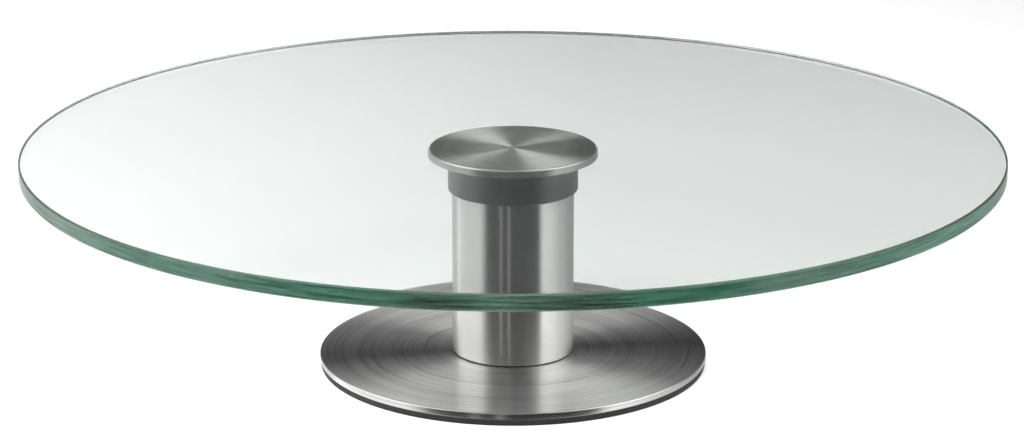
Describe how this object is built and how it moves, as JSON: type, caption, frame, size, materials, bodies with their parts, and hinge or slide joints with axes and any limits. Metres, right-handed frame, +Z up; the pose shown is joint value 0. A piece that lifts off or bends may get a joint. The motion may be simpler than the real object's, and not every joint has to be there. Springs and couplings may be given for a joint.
{
  "type": "cake turntable",
  "caption": "Glass disc on a steel boss that turns on ball bearings in a moulded collar, on a short brushed steel column and a round base plate with a foam pad.",
  "frame": {"origin": "centre of the base pad's underside, on the axis of rotation", "axes": "+Z up along the axis of rotation; X and Y are free, the part is round"},
  "size_m": [0.3, 0.3, 0.07],
  "materials": {
    "clear_glass": "polished clear float glass, green at its edge, arrised",
    "bond": "clear cured adhesive",
    "turned_steel": "face-turned stainless steel, fine circular marks",
    "column_steel": "satin stainless tube",
    "base_steel": "circular-brushed stainless plate",
    "plug_steel": "turned mild steel, lightly oiled",
    "screw_steel": "zinc-plated steel",
    "bearing_steel": "ground bearing steel",
    "ball_steel": "polished bearing steel",
    "spring_steel": "black phosphated spring steel",
    "cage_plastic": "natural moulded nylon",
    "collar_plastic": "moulded dark grey plastic, fine matt texture",
    "tape": "double-sided tape",
    "pad_foam": "black closed-cell foam rubber"
  },
  "bodies": {
    "stand": {"base_pad": "pad_foam", "pad_tape": "tape", "base_plate": "base_steel", "base_screws": "screw_steel", "foot_plug": "plug_steel", "column_tube": "column_steel", "bearing_collar": "collar_plastic", "upper_bearing_outer_race": "bearing_steel", "upper_bearing_shields": "bearing_steel", "lower_bearing_outer_race": "bearing_steel", "lower_bearing_shields": "bearing_steel"},
    "turntable": {"glass_plate": "clear_glass", "bond_film": "bond", "boss_disc": "turned_steel", "spindle": "bearing_steel", "spacer_sleeve": "plug_steel", "thrust_washer": "screw_steel", "retaining_ring": "spring_steel", "upper_bearing_inner_race": "bearing_steel", "lower_bearing_inner_race": "bearing_steel"},
    "upper_cage": {"upper_bearing_balls": "ball_steel", "upper_bearing_cage": "cage_plastic"},
    "lower_cage": {"lower_bearing_balls": "ball_steel", "lower_bearing_cage": "cage_plastic"}
  },
  "joints": [
    {"name": "plate_spin", "type": "hinge", "parent": "stand", "child": "turntable", "pos_m": [0, 0, 0.062], "axis": [0, 0, 1], "continuous": true},
    {"name": "upper_cage_orbit", "type": "hinge", "parent": "stand", "child": "upper_cage", "pos_m": [0, 0, 0.057], "axis": [0, 0, 1], "continuous": true},
    {"name": "lower_cage_orbit", "type": "hinge", "parent": "stand", "child": "lower_cage", "pos_m": [0, 0, 0.03], "axis": [0, 0, 1], "continuous": true}
  ],
  "couplings": [
    {"joint": "upper_cage_orbit", "follows": "plate_spin", "ratio": 0.3677},
    {"joint": "lower_cage_orbit", "follows": "plate_spin", "ratio": 0.3677}
  ]
}
